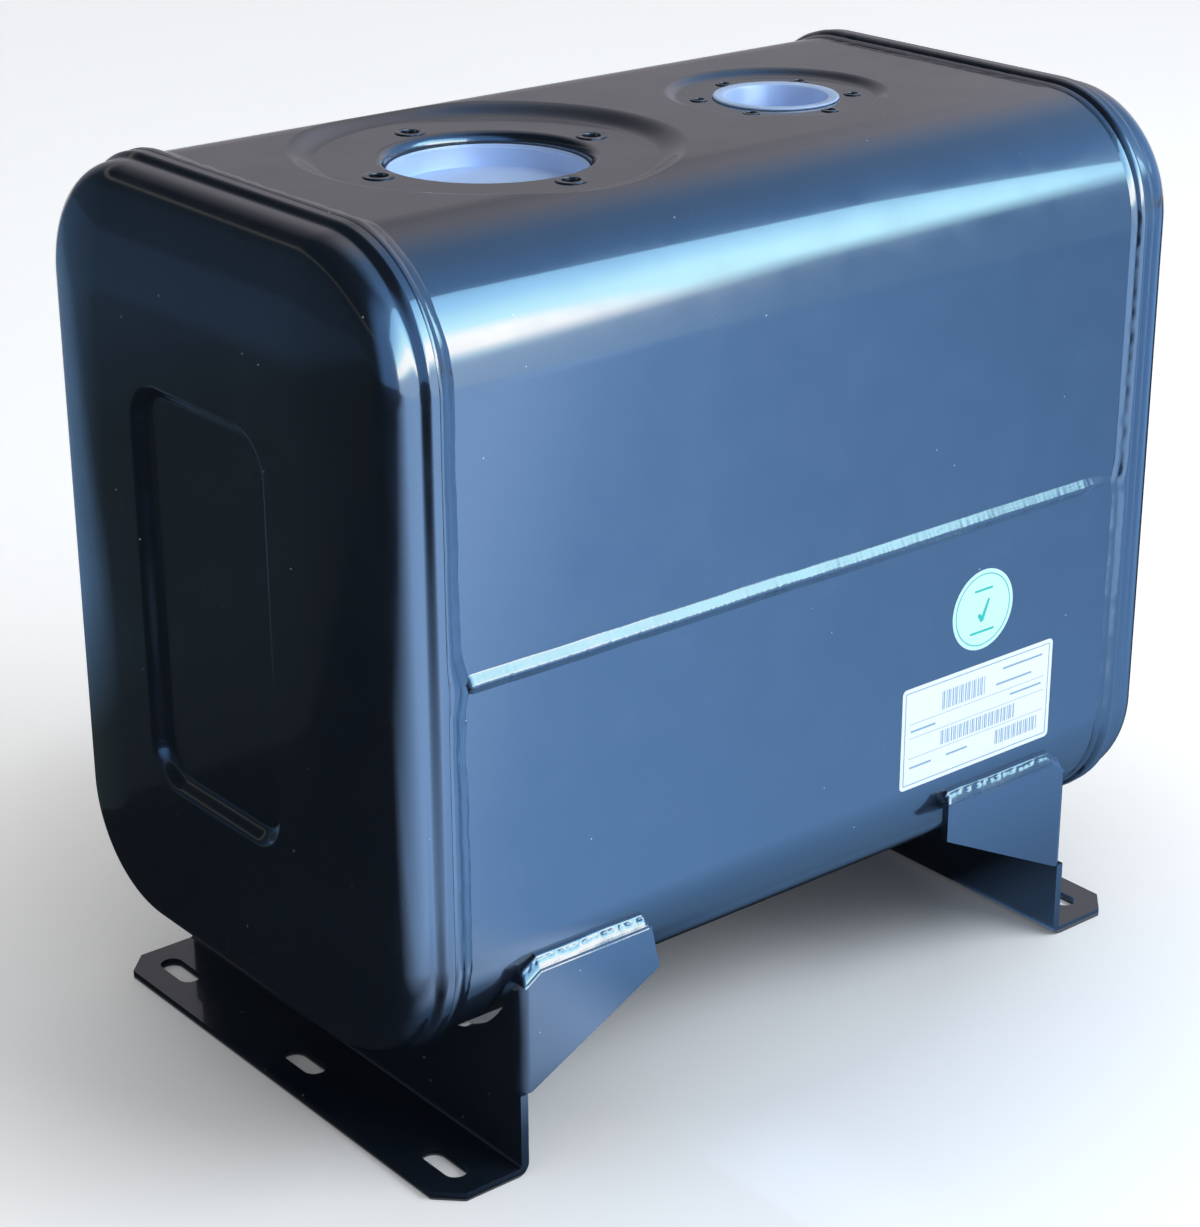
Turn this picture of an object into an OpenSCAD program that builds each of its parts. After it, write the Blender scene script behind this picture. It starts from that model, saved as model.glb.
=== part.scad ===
// Rectangular steel oil tank on two bent-plate feet.
// X runs along the tank, Y across it with the welded seam at -Y, Z up from the ground under the feet.

/* [Tank body] */
// Length over the faces of the two end caps
body_length = 465; // [400:1:540]
// Width of the wrapped shell
body_width = 260; // [240:1:300]
// Height of the wrapped shell
body_height = 360; // [330:1:400]
// Outside radius of the four long corners
corner_radius = 58; // [50:1:66]
// Thickness of the shell and cap sheet
sheet = 2.5; // [1.5:0.1:3]

/* [End caps] */
// Depth from the face of a cap to the open edge of its rim
cap_depth = 32.5; // [31.5:0.5:40]
// Radius between the face of a cap and its skirt
cap_edge_radius = 14; // [10:0.5:15]
// Spherical radius at which the face of a cap falls away towards its edge
crown_radius = 166; // [150:1:240]
// Length of the joggle that steps the skirt out over the shell
joggle_length = 5; // [4:0.5:6]
// Length of the rim that laps the shell
rim_length = 5.5; // [5:0.5:6]
// How far the shell reaches under the rim
shell_lap = 4; // [2:0.5:4.5]
// Gap between the rim and the shell, and between the feet and the shell
fit_gap = 0.3; // [0.2:0.05:0.5]
// Leg of the fillet weld along the shell
end_weld_leg = 7; // [4:0.5:9]

/* [End panel] */
// Width of the pressed panel
panel_width = 102; // [80:1:120]
// Height of the pressed panel
panel_height = 188; // [150:1:210]
// Corner radius of the pressed panel
panel_radius = 20; // [14:1:30]
// Depth of the pressed panel
panel_depth = 6; // [3:0.5:8]
// Run of the sloped wall of the panel
panel_draft = 5; // [3:0.5:8]

/* [Large port] */
// Middle of the large port from the left end
large_port_inset = 154.5; // [145:0.5:165]
// Outer radius of its recess
large_recess_radius = 86; // [80:1:90]
// Depth of its recess
large_recess_depth = 5; // [3.5:0.5:8]
// Run of the sloped recess wall
large_recess_wall = 10; // [7:0.5:13]
// Bore diameter
large_bore_diameter = 90; // [84:1:92]
// Bolt circle diameter
large_bolt_circle = 115; // [113:1:120]
// Number of bolts
large_bolts = 4; // [4:1:4]
// Tapped bore of an insert
large_tap = 8.5; // [6:0.1:8.8]

/* [Small port] */
// Least flat width between the two recesses
recess_land = 6; // [4:0.5:20]
// Middle of the small port from the right end
small_port_inset = 142.5; // [130:0.5:150]
// Outer radius of its recess
small_recess_radius = 52; // [48:1:54]
// Depth of its recess
small_recess_depth = 3; // [2:0.5:5]
// Run of the sloped recess wall
small_recess_wall = 5.5; // [4:0.5:7]
// Bore diameter
small_bore_diameter = 52; // [48:1:53]
// Bolt circle diameter
small_bolt_circle = 73; // [72:0.5:76]
// Number of bolts
small_bolts = 6; // [6:1:6]
// Tapped bore of an insert
small_tap = 5; // [3.6:0.1:5.2]

/* [Port lip] */
// Radius at which the recess floor rolls down into a bore
roll_radius = 4.5; // [3:0.5:5]
// Depth of the rolled lip below the recess floor
lip_depth = 12; // [9:1:16]

/* [Plugs] */
// Wall of the plastic plugs
plug_wall = 1.8; // [1.2:0.1:2.5]
// Gap between a plug and its bore
plug_gap = 0.3; // [0.2:0.05:0.5]
// Depth of the large plug's rim below the recess floor
large_plug_drop = 5; // [4:0.5:8]
// Depth of the large plug's cup
large_plug_depth = 12; // [10:1:24]
// Diameter of the small plug's flange
small_plug_flange = 59; // [57:1:61]
// Thickness of the small plug's flange
small_plug_lip = 1.2; // [0.8:0.1:2]
// Depth of the small plug's cup
small_plug_depth = 26; // [18:1:32]

/* [Feet] */
// Ground to the underside of the shell
foot_height = 56; // [46:1:70]
// Plate thickness
plate = 4; // [3:0.5:5]
// Inside bend radius
bend_radius = 2; // [1:0.5:3]
// Outer face of a web from the end of the tank
foot_inset = 62; // [52:1:72]
// Reach of a flange past its web
flange_reach = 41; // [36:1:46]
// Corner cut of a flange
flange_chamfer = 11; // [6:1:14]
// Middle of an outer slot from the end of its flange
slot_inset = 25.3; // [22:0.1:36]
// End-to-end length of a slot
slot_length = 27; // [20:1:30]
// Width of a slot
slot_width = 11; // [9:0.5:13]
// Middle of the slots past the web
slot_offset = 23; // [20:1:25]
// Length of an ear along the tank
ear_length = 84; // [60:1:100]
// Top of the ears above the underside of the shell
ear_rise = 42; // [36:1:48]
// Height of an ear at its free end
ear_tip = 19; // [12:1:26]
// Bottom of the ears at the web, above the ground
ear_foot = 40; // [30:1:44]
// Gap between the web and the rounded corners of the shell
saddle_gap = 3.5; // [2:0.5:6]
// Leg of the weld on top of an ear
ear_weld_leg = 7; // [5:0.5:9]

/* [Seam] */
// Width of the weld bead along the front
seam_width = 6; // [4:0.5:8]
// Height of the weld bead
seam_height = 1.8; // [1:0.1:2.5]

/* [Hidden] */
$fn = 96;
paint = [0.06, 0.09, 0.14];
weld_paint = [0.09, 0.13, 0.19];
plastic = [0.86, 0.90, 0.96];
zinc = [0.16, 0.18, 0.21];

half_length = body_length / 2;
mid_z = foot_height + body_height / 2;
deck_z = foot_height + body_height;
side_y = body_width / 2;
shell_half = half_length - cap_depth + shell_lap;
rim_out = fit_gap + sheet;
skirt_end = cap_depth - rim_length - joggle_length;
joggle_end = cap_depth - rim_length;
rim_edge_x = half_length - cap_depth;
weld_toe_x = rim_edge_x - end_weld_leg;
joggle_thickness = sheet * 0.5;
web_x = half_length - foot_inset;
// Ports stand at their insets, and move apart where a short tank would bring their recesses together
port_spread = max(
    0, large_recess_radius + small_recess_radius + recess_land - body_length + large_port_inset + small_port_inset
) / 2;
large_port_x = large_port_inset - half_length - port_spread;
small_port_x = half_length - small_port_inset + port_spread;
ear_outer = side_y + fit_gap + plate;
ear_top = foot_height + ear_rise;
slot_spacing = ear_outer - slot_inset;
// How far the weld blocks reach into the shell before they are cut to its surface
weld_root = 8;
// Shares of a fillet weld's two legs at which its face bulges
weld_bulge = [0.75, 0.4];
// How far a cut runs past the face that it opens
overcut = 1;
ear_start = web_x - plate - bend_radius;
ear_end = web_x - ear_length;
large_floor = deck_z - large_recess_depth;
small_floor = deck_z - small_recess_depth;
// Sizes of a threaded insert follow from its tapped bore
function insert_body(tap) = tap * 0.66;
function insert_flange(tap) = tap * 0.82;
insert_gap = 0.1;
insert_flange_height = 0.5;
insert_length = 12;

// Turns a shape drawn in a cross-section, with its depth along Z, to lie along the tank at mid height
module along_tank() {
    translate([0, 0, mid_z]) rotate([90, 0, 90]) children();
}

// Rectangle with round corners, centred
module rounded_rectangle(w, h, r) {
    square([w - 2 * r, h], center = true);
    square([w, h - 2 * r], center = true);
    for (x = [-1, 1], y = [-1, 1])
        translate([x * (w / 2 - r), y * (h / 2 - r)]) circle(r);
}

// Sweeps a profile round a rounded rectangle: profile X is measured out from the corner centres
module sweep_round(w, h, r) {
    flat_w = w - 2 * r;
    flat_h = h - 2 * r;
    for (quarter = [0:3]) {
        turned = quarter % 2 == 1;
        across = turned ? flat_h : flat_w;
        along = turned ? flat_w : flat_h;
        rotate([0, 0, quarter * 90]) {
            translate([across / 2, along / 2, 0]) rotate_extrude(angle = 90) children();
            translate([across / 2, along / 2, 0]) rotate([90, 0, 0]) linear_extrude(along) children();
        }
    }
}

// The same sweep with the middle closed between two depths
module sweep_filled(w, h, r, low, high) {
    sweep_round(w, h, r) children();
    translate([r - w / 2, r - h / 2, low]) cube([w - 2 * r, h - 2 * r, high - low]);
}

// Solid envelope of the shell, grown by a gap
module shell_envelope(gap = 0) {
    along_tank()
        linear_extrude(body_length, center = true)
            rounded_rectangle(body_width + 2 * gap, body_height + 2 * gap, corner_radius + gap);
}

// Depth at which the rounded edge of a cap runs into its skirt
function edge_depth(crown, radius, across) = crown - sqrt(pow(crown - radius, 2) - pow(across, 2));

// Profile of a cap seen in section: depth runs in from the face, which is crowned and rounded at its edge
module cap_block(reach, radius, crown, depth) {
    across = reach - radius;
    edge = edge_depth(crown, radius, across);
    meet = across * crown / (crown - radius);
    difference() {
        intersection() {
            square([reach, depth]);
            translate([0, crown]) circle(crown);
        }
        difference() {
            translate([meet, -overcut]) square([reach - meet + overcut, edge + overcut]);
            translate([across, edge]) circle(radius);
        }
    }
}

module cap_section() {
    difference() {
        cap_block(corner_radius, cap_edge_radius, crown_radius, skirt_end);
        translate([0, sheet])
            cap_block(corner_radius - sheet, cap_edge_radius - sheet, crown_radius - sheet, cap_depth);
    }
    inner = corner_radius - sheet;
    lip = corner_radius + rim_out;
    polygon([
        [inner, skirt_end - joggle_thickness], [corner_radius, skirt_end - joggle_thickness],
        [corner_radius, skirt_end], [lip, joggle_end], [lip, cap_depth], [lip - sheet, cap_depth],
        [lip - sheet, joggle_end + joggle_thickness], [inner, skirt_end + joggle_thickness]
    ]);
}

// One pressed cap with its face at depth zero
module pressed_cap() {
    wall = panel_radius - panel_draft;
    difference() {
        sweep_filled(body_width, body_height, corner_radius, 0, sheet) cap_section();
        sweep_filled(panel_width, panel_height, panel_radius, -overcut, panel_depth)
            polygon([
                [0, -overcut], [panel_radius, -overcut], [panel_radius, 0],
                [wall, panel_depth], [0, panel_depth]
            ]);
    }
    sweep_filled(panel_width, panel_height, panel_radius, panel_depth, panel_depth + sheet)
        polygon([
            [0, panel_depth], [wall, panel_depth], [panel_radius, 0],
            [panel_radius, sheet], [wall, panel_depth + sheet], [0, panel_depth + sheet]
        ]);
}

module right_end_cap() {
    color(paint)
        along_tank() translate([0, 0, half_length]) mirror([0, 0, 1]) pressed_cap();
}

module left_end_cap() {
    mirror([1, 0, 0]) right_end_cap();
}

// Space above a pressed port recess, measured down from the deck
module recess_space(radius, depth, wall) {
    rotate_extrude()
        polygon([[0, overcut], [radius, overcut], [radius, 0], [radius - wall, -depth], [0, -depth]]);
}

// Pressed sheet of a port recess with its floor rolled down into the bore
module recess_sheet(radius, depth, wall, bore) {
    floor_radius = radius - wall;
    roll_start = bore / 2 + roll_radius;
    rotate_extrude() {
        polygon([
            [floor_radius, -depth], [radius, 0], [radius, -sheet],
            [floor_radius, -depth - sheet], [roll_start, -depth - sheet], [roll_start, -depth]
        ]);
        translate([roll_start, -depth - roll_radius]) difference() {
            intersection() {
                circle(roll_radius);
                translate([-roll_radius, 0]) square(roll_radius);
            }
            circle(roll_radius - sheet);
        }
        translate([bore / 2, -depth - lip_depth]) square([sheet, lip_depth - roll_radius]);
    }
}

// Holes round a port for its threaded inserts
module insert_holes(circle_diameter, count, first_angle, tap) {
    for (i = [0:count - 1])
        rotate([0, 0, first_angle + i * 360 / count])
            translate([circle_diameter / 2, 0, -insert_length])
                cylinder(r = insert_body(tap) + insert_gap, h = insert_length + overcut);
}

module large_pressing() {
    difference() {
        recess_sheet(large_recess_radius, large_recess_depth, large_recess_wall, large_bore_diameter);
        translate([0, 0, -large_recess_depth])
            insert_holes(large_bolt_circle, large_bolts, 0, large_tap);
    }
}

module small_pressing() {
    difference() {
        recess_sheet(small_recess_radius, small_recess_depth, small_recess_wall, small_bore_diameter);
        translate([0, 0, -small_recess_depth])
            insert_holes(small_bolt_circle, small_bolts, 180 / small_bolts, small_tap);
    }
}

module shell() {
    color(paint) {
        difference() {
            along_tank() linear_extrude(2 * shell_half, center = true) difference() {
                rounded_rectangle(body_width, body_height, corner_radius);
                rounded_rectangle(body_width - 2 * sheet, body_height - 2 * sheet, corner_radius - sheet);
            }
            translate([large_port_x, 0, deck_z])
                recess_space(large_recess_radius, large_recess_depth, large_recess_wall);
            translate([small_port_x, 0, deck_z])
                recess_space(small_recess_radius, small_recess_depth, small_recess_wall);
        }
        intersection() {
            translate([large_port_x, 0, deck_z]) large_pressing();
            shell_envelope();
        }
        translate([small_port_x, 0, deck_z]) small_pressing();
    }
}

// Weld bead along the middle of the front face, between the end welds
module seam_weld() {
    bead_radius = (pow(seam_width / 2, 2) + pow(seam_height, 2)) / (2 * seam_height);
    color(weld_paint)
        translate([0, -side_y, mid_z]) rotate([90, 0, 90])
            linear_extrude(2 * (weld_toe_x - fit_gap), center = true) intersection() {
                translate([bead_radius - seam_height, 0]) circle(bead_radius);
                translate([-seam_height, -seam_width / 2]) square([seam_height, seam_width]);
            }
}

// Fillet weld between a cap's rim and the shell
module right_end_weld() {
    color(weld_paint)
        along_tank() translate([0, 0, rim_edge_x]) mirror([0, 0, 1])
            sweep_round(body_width, body_height, corner_radius)
                polygon([
                    [corner_radius, 0], [corner_radius + rim_out, 0],
                    [corner_radius + rim_out * weld_bulge[0], end_weld_leg * weld_bulge[1]],
                    [corner_radius, end_weld_leg]
                ]);
}

module left_end_weld() {
    mirror([1, 0, 0]) right_end_weld();
}

// Slot that runs across the tank
module slot() {
    run = slot_length - slot_width;
    square([slot_width, run], center = true);
    for (y = [-1, 1])
        translate([0, y * run / 2]) circle(d = slot_width);
}

module flange() {
    start = web_x + bend_radius;
    end = web_x + flange_reach;
    linear_extrude(plate) difference() {
        polygon([
            [start, -ear_outer], [end - flange_chamfer, -ear_outer], [end, flange_chamfer - ear_outer],
            [end, ear_outer - flange_chamfer], [end - flange_chamfer, ear_outer], [start, ear_outer]
        ]);
        for (y = [-slot_spacing, 0, slot_spacing])
            translate([web_x + slot_offset, y]) slot();
    }
}

// Quarter of a bent plate, with its centre at the origin
module bend_section() {
    intersection() {
        difference() {
            circle(bend_radius + plate);
            circle(bend_radius);
        }
        square(bend_radius + plate);
    }
}

// Upright plate below the shell, with its top cut to the shell's underside and corners
module web() {
    low = plate + bend_radius;
    bend_y = side_y + fit_gap - bend_radius;
    translate([web_x - plate, 0, 0]) rotate([90, 0, 90]) linear_extrude(plate) difference() {
        union() {
            translate([-ear_outer, low]) square([2 * ear_outer, ear_foot - low]);
            translate([-bend_y, low]) square([2 * bend_y, ear_top - low]);
        }
        translate([0, mid_z])
            rounded_rectangle(body_width + 2 * fit_gap, body_height + 2 * fit_gap, corner_radius + fit_gap);
        for (y = [-1, 1])
            translate([y * (side_y - corner_radius), foot_height + corner_radius])
                circle(corner_radius + saddle_gap);
        translate([corner_radius - side_y, foot_height - fit_gap])
            square([body_width - 2 * corner_radius, body_height]);
    }
}

// Ear folded in from the web along the side of the shell
module ear() {
    bend_y = side_y + fit_gap - bend_radius;
    translate([0, ear_outer, 0]) rotate([90, 0, 0]) linear_extrude(plate)
        polygon([
            [ear_start, ear_foot], [ear_start, ear_top], [ear_end, ear_top], [ear_end, ear_top - ear_tip]
        ]);
    translate([ear_start, bend_y, ear_foot]) linear_extrude(ear_top - ear_foot) bend_section();
}

module right_foot() {
    color(paint) {
        flange();
        translate([web_x + bend_radius, ear_outer, plate + bend_radius])
            rotate([90, 0, 0]) linear_extrude(2 * ear_outer) rotate([0, 0, 180]) bend_section();
        web();
        ear();
        mirror([0, 1, 0]) ear();
    }
}

module left_foot() {
    mirror([1, 0, 0]) right_foot();
}

// Fillet weld along the top of an ear, cut to the shell's rounded side
module right_rear_ear_weld() {
    weld_length = ear_start - ear_end;
    color(weld_paint) difference() {
        translate([ear_end, 0, ear_top]) rotate([90, 0, 90]) linear_extrude(weld_length)
            polygon([
                [side_y - weld_root, 0], [ear_outer, 0],
                [side_y + (ear_outer - side_y) * weld_bulge[0], ear_weld_leg * weld_bulge[1]],
                [side_y, ear_weld_leg], [side_y - weld_root, ear_weld_leg]
            ]);
        shell_envelope();
    }
}

module right_front_ear_weld() {
    mirror([0, 1, 0]) right_rear_ear_weld();
}

module left_rear_ear_weld() {
    mirror([1, 0, 0]) right_rear_ear_weld();
}

module left_front_ear_weld() {
    mirror([1, 0, 0]) right_front_ear_weld();
}

// Cup pressed into the large bore below the recess floor
module large_port_plug() {
    outer = large_bore_diameter / 2 - plug_gap;
    color(plastic) translate([large_port_x, 0, large_floor - large_plug_drop]) rotate_extrude()
        polygon([
            [0, -large_plug_depth], [outer, -large_plug_depth], [outer, 0], [outer - plug_wall, 0],
            [outer - plug_wall, plug_wall - large_plug_depth], [0, plug_wall - large_plug_depth]
        ]);
}

// Flanged cup that closes the small bore
module small_port_plug() {
    outer = small_bore_diameter / 2 - plug_gap;
    flange = small_plug_flange / 2;
    color(plastic) translate([small_port_x, 0, small_floor]) rotate_extrude()
        polygon([
            [0, -small_plug_depth], [outer, -small_plug_depth], [outer, 0],
            [flange, 0], [flange, small_plug_lip], [outer - plug_wall, small_plug_lip],
            [outer - plug_wall, plug_wall - small_plug_depth],
            [0, plug_wall - small_plug_depth]
        ]);
}

// Threaded insert with its flange on a recess floor
module threaded_insert(tap) {
    body = insert_body(tap);
    color(zinc) difference() {
        union() {
            cylinder(r = insert_flange(tap), h = insert_flange_height);
            translate([0, 0, -insert_length]) cylinder(r = body, h = insert_length);
        }
        translate([0, 0, -insert_length - overcut])
            cylinder(d = tap, h = insert_length + insert_flange_height + 2 * overcut);
    }
}

module large_port_insert(index) {
    angle = (index - 1) * 360 / large_bolts;
    translate([large_port_x, 0, large_floor]) rotate([0, 0, angle])
        translate([large_bolt_circle / 2, 0, 0]) threaded_insert(large_tap);
}

module small_port_insert(index) {
    angle = 180 / small_bolts + (index - 1) * 360 / small_bolts;
    translate([small_port_x, 0, small_floor]) rotate([0, 0, angle])
        translate([small_bolt_circle / 2, 0, 0]) threaded_insert(small_tap);
}

shell();
left_end_cap();
right_end_cap();
seam_weld();
left_end_weld();
right_end_weld();
left_foot();
right_foot();
left_front_ear_weld();
left_rear_ear_weld();
right_front_ear_weld();
right_rear_ear_weld();
large_port_plug();
small_port_plug();
large_port_insert(1);  // large_port_insert_1
large_port_insert(2);  // large_port_insert_2
large_port_insert(3);  // large_port_insert_3
large_port_insert(4);  // large_port_insert_4
small_port_insert(1);  // small_port_insert_1
small_port_insert(2);  // small_port_insert_2
small_port_insert(3);  // small_port_insert_3
small_port_insert(4);  // small_port_insert_4
small_port_insert(5);  // small_port_insert_5
small_port_insert(6);  // small_port_insert_6
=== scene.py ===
"""Dresses the rectangular steel oil tank: painted sheet, welds, feet, plugs, inserts and stickers."""

import math

import bmesh
import bpy
from mathutils import Matrix, Vector, noise


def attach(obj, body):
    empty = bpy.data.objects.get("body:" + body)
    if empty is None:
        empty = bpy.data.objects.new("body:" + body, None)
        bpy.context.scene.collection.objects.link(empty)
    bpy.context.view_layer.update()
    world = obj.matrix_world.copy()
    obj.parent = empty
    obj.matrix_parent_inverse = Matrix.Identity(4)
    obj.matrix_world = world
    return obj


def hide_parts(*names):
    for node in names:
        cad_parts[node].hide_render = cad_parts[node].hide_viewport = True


bl_info = {
    "name": "Steel oil tank",
    "version": (1, 0, 0),
    "blender": (4, 5, 0),
    "location": "View3D > Sidebar > Tank",
    "description": "Builds the painted looks of a rectangular steel oil tank on feet",
    "category": "Object",
}

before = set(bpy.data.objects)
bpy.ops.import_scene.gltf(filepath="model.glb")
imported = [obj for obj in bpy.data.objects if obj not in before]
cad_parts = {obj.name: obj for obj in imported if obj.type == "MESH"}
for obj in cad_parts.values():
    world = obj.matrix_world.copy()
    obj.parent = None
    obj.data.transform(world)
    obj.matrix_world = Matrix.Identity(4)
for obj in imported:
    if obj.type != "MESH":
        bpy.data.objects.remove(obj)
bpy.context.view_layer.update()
MM = 0.001

# Tank body, as in the part's source
HALF_LENGTH = 232.5 * MM
WIDTH = 260 * MM
HEIGHT = 360 * MM
CORNER = 58 * MM
SHEET = 2.5 * MM
FOOT_HEIGHT = 56 * MM
MID_Z = FOOT_HEIGHT + HEIGHT / 2
DECK_Z = FOOT_HEIGHT + HEIGHT
SIDE_Y = WIDTH / 2
CAP_DEPTH = 32.5 * MM
SHELL_HALF = HALF_LENGTH - CAP_DEPTH + 4 * MM
RIM_X = HALF_LENGTH - CAP_DEPTH
RIM_OUT = 2.8 * MM
END_WELD_LEG = 7 * MM
CORNER_STEPS = 24
# Faces that meet at more than this many degrees keep a hard edge
HARD_EDGE = 35

# Ports: axis along X, outer radius of the recess, depth, run of its wall, bore radius
PORTS = {
    "large": (-78 * MM, 87.5 * MM, 5 * MM, 13 * MM, 45 * MM),
    "small": (90 * MM, 53 * MM, 3 * MM, 7.5 * MM, 26 * MM),
}
ROLL = 4.5 * MM
LIP_DEPTH = 12 * MM
WALL_STEPS = 10
ROLL_STEPS = 8
ROUND_STEPS = 128
# Reach of the cutters above and below the deck, and slack when their faces are found again
CUTTER_REACH = 30 * MM
HOLE_DEPTH = 12 * MM
NEAR = 1.001

# Bolt circles: radius, number of inserts, first angle in degrees, radius of the hole in the floor
BOLTS = {
    "large": (57.5 * MM, 4, 0.0, 5.71 * MM),
    "small": (36.5 * MM, 6, 30.0, 3.4 * MM),
}

# Rounding of the inserts' edges
INSERT_EDGE = 0.4 * MM

# Feet and ears
EAR_TOP = 98 * MM
EAR_OUTER = 134.3 * MM
EAR_START = 164.5 * MM
EAR_END = 86.5 * MM
EAR_FREE = 22 * MM


def clamp(t):
    """Holds a value between 0 and 1."""
    return max(0.0, min(1.0, t))


def smooth_step(t):
    """Eases from 0 to 1 with level ends."""
    return t * t * (3 - 2 * t)


def round_end(t):
    """Rises from 0 to 1 like a quarter of a circle."""
    return math.sqrt(max(0.0, t * (2 - t)))


def side_surface(z):
    """Distance of the shell's side from the middle plane at a height, round corners included."""
    flat = HEIGHT / 2 - CORNER
    over = max(0.0, abs(z - MID_Z) - flat)
    return SIDE_Y - CORNER + math.sqrt(max(0.0, CORNER**2 - over**2))


def deck_surface(y):
    """Height of the shell's top at a distance from the middle plane, round corners included."""
    over = max(0.0, abs(y) - (SIDE_Y - CORNER))
    return DECK_Z - CORNER + math.sqrt(max(0.0, CORNER**2 - over**2))


def wander(x, y, z, scale):
    """Smooth wander between -1 and 1 that repeats on every run."""
    return noise.noise(Vector((x, y, z)) * scale)


def new_piece(name, bm, material, nodes=()):
    """Turns a mesh under construction into a smooth-shaded piece of the object."""
    mesh = bpy.data.meshes.new(name)
    bm.normal_update()
    bm.to_mesh(mesh)
    bm.free()
    mesh.materials.append(material)
    piece = bpy.data.objects.new(name, mesh)
    bpy.context.scene.collection.objects.link(piece)
    mesh.shade_smooth()
    mesh.set_sharp_from_angle(angle=math.radians(HARD_EDGE))
    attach(piece, "root")
    if nodes:
        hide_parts(*nodes)
    return piece


def even_shading(piece):
    """Keeps flat faces flat to the eye beside rounded edges."""
    weighted = piece.modifiers.new("even shading", "WEIGHTED_NORMAL")
    weighted.keep_sharp = True
    weighted.weight = 60


def cut(bm, cutter, walled=0.0):
    """Takes the cutter's volume out of the mesh, after giving an open sheet its thickness."""
    made = []
    for label, source in (("blank", bm), ("cutter", cutter)):
        mesh = bpy.data.meshes.new(label)
        source.to_mesh(mesh)
        source.free()
        made.append(bpy.data.objects.new(label, mesh))
        bpy.context.scene.collection.objects.link(made[-1])
    blank, tool = made
    if walled:
        wall = blank.modifiers.new("sheet", "SOLIDIFY")
        wall.thickness = walled
        wall.offset = -1
        wall.use_even_offset = True
    difference = blank.modifiers.new("cut", "BOOLEAN")
    difference.operation = "DIFFERENCE"
    difference.solver = "EXACT"
    difference.object = tool
    bpy.context.view_layer.update()
    result = bmesh.new()
    result.from_object(blank, bpy.context.evaluated_depsgraph_get())
    for item in made:
        mesh = item.data
        bpy.data.objects.remove(item)
        bpy.data.meshes.remove(mesh)
    return result


def extrude_loop(bm, edges):
    """Extrudes a loop of edges and gives its new edges and vertices."""
    made = bmesh.ops.extrude_edge_only(bm, edges=edges)["geom"]
    verts = [item for item in made if isinstance(item, bmesh.types.BMVert)]
    fresh = set(verts)
    edges = [
        item
        for item in made
        if isinstance(item, bmesh.types.BMEdge) and fresh.issuperset(item.verts)
    ]
    return edges, verts


def rounded_block():
    """Solid block of the tank body with its four long edges rounded."""
    bm = bmesh.new()
    place = Matrix.Translation((0, 0, MID_Z)) @ Matrix.Diagonal((2 * SHELL_HALF, WIDTH, HEIGHT, 1))
    bmesh.ops.create_cube(bm, size=1.0, matrix=place)
    long_edges = [e for e in bm.edges if abs(e.verts[0].co.x - e.verts[1].co.x) > SHELL_HALF]
    bmesh.ops.bevel(
        bm, geom=long_edges, offset=CORNER, offset_type="OFFSET", segments=CORNER_STEPS,
        profile=0.5, affect="EDGES", material=-1, clamp_overlap=False,
    )
    return bm


def cylinders(rows):
    """Closed upright cylinders from rows of middle, radius, low and high."""
    bm = bmesh.new()
    for x, y, radius, low, high in rows:
        bmesh.ops.create_cone(
            bm, cap_ends=True, segments=ROUND_STEPS, radius1=radius, radius2=radius,
            depth=high - low, matrix=Matrix.Translation((x, y, (low + high) / 2)),
        )
    return bm


def port_rings(radius, wall, bore):
    """Radius, share of the drop and extra depth of each ring from the deck into a bore."""
    rings = []
    for i in range(1, WALL_STEPS + 1):
        t = i / WALL_STEPS
        rings.append((radius - wall * t, smooth_step(t), 0.0))
    for i in range(ROLL_STEPS + 1):
        angle = math.pi / 2 * i / ROLL_STEPS
        rings.append((bore + ROLL * (1 - math.sin(angle)), 1.0, ROLL * (1 - math.cos(angle))))
    rings.append((bore, 1.0, LIP_DEPTH))
    return rings


def press_port(bm, port):
    """Presses one recess into the skin and rolls its floor down into the bore."""
    x, radius, depth, wall, bore = PORTS[port]

    def within(v):
        return math.hypot(v.co.x - x, v.co.y) < radius * NEAR and v.co.z > MID_Z

    inside = [f for f in bm.faces if all(within(v) for v in f.verts)]
    bmesh.ops.delete(bm, geom=inside, context="FACES")
    edges = [e for e in bm.edges if e.is_boundary and all(within(v) for v in e.verts)]
    floor = DECK_Z - depth
    for ring, share, extra in port_rings(radius, wall, bore):
        edges, verts = extrude_loop(bm, edges)
        for v in verts:
            angle = math.atan2(v.co.y, v.co.x - x)
            top = deck_surface(radius * math.sin(angle))
            v.co.x = x + ring * math.cos(angle)
            v.co.y = ring * math.sin(angle)
            v.co.z = top + (floor - top) * share - extra


def shell_skin():
    """Wrapped sheet with both port recesses, its wall and the holes for the inserts."""
    low, high = DECK_Z - CUTTER_REACH, DECK_Z + CUTTER_REACH
    rows = [(x, 0, radius, low, high) for x, radius, _, _, _ in PORTS.values()]
    bm = cut(rounded_block(), cylinders(rows))
    bm.normal_update()
    ends = [
        f for f in bm.faces
        if abs(f.normal.x) > 0.99 and abs(abs(f.calc_center_median().x) - SHELL_HALF) < MM
    ]
    bmesh.ops.delete(bm, geom=ends, context="FACES")
    for port in PORTS:
        press_port(bm, port)
    bmesh.ops.recalc_face_normals(bm, faces=bm.faces)
    if max(bm.faces, key=lambda f: f.calc_center_median().y).normal.y < 0:
        bmesh.ops.reverse_faces(bm, faces=bm.faces)
    holes = []
    for port, (circle, count, first, hole) in BOLTS.items():
        x, _, depth, _, _ = PORTS[port]
        for i in range(count):
            angle = math.radians(first + i * 360 / count)
            low = DECK_Z - depth - HOLE_DEPTH
            holes.append((x + circle * math.cos(angle), circle * math.sin(angle), hole, low, DECK_Z))
    return cut(bm, cylinders(holes), walled=SHEET)


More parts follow.
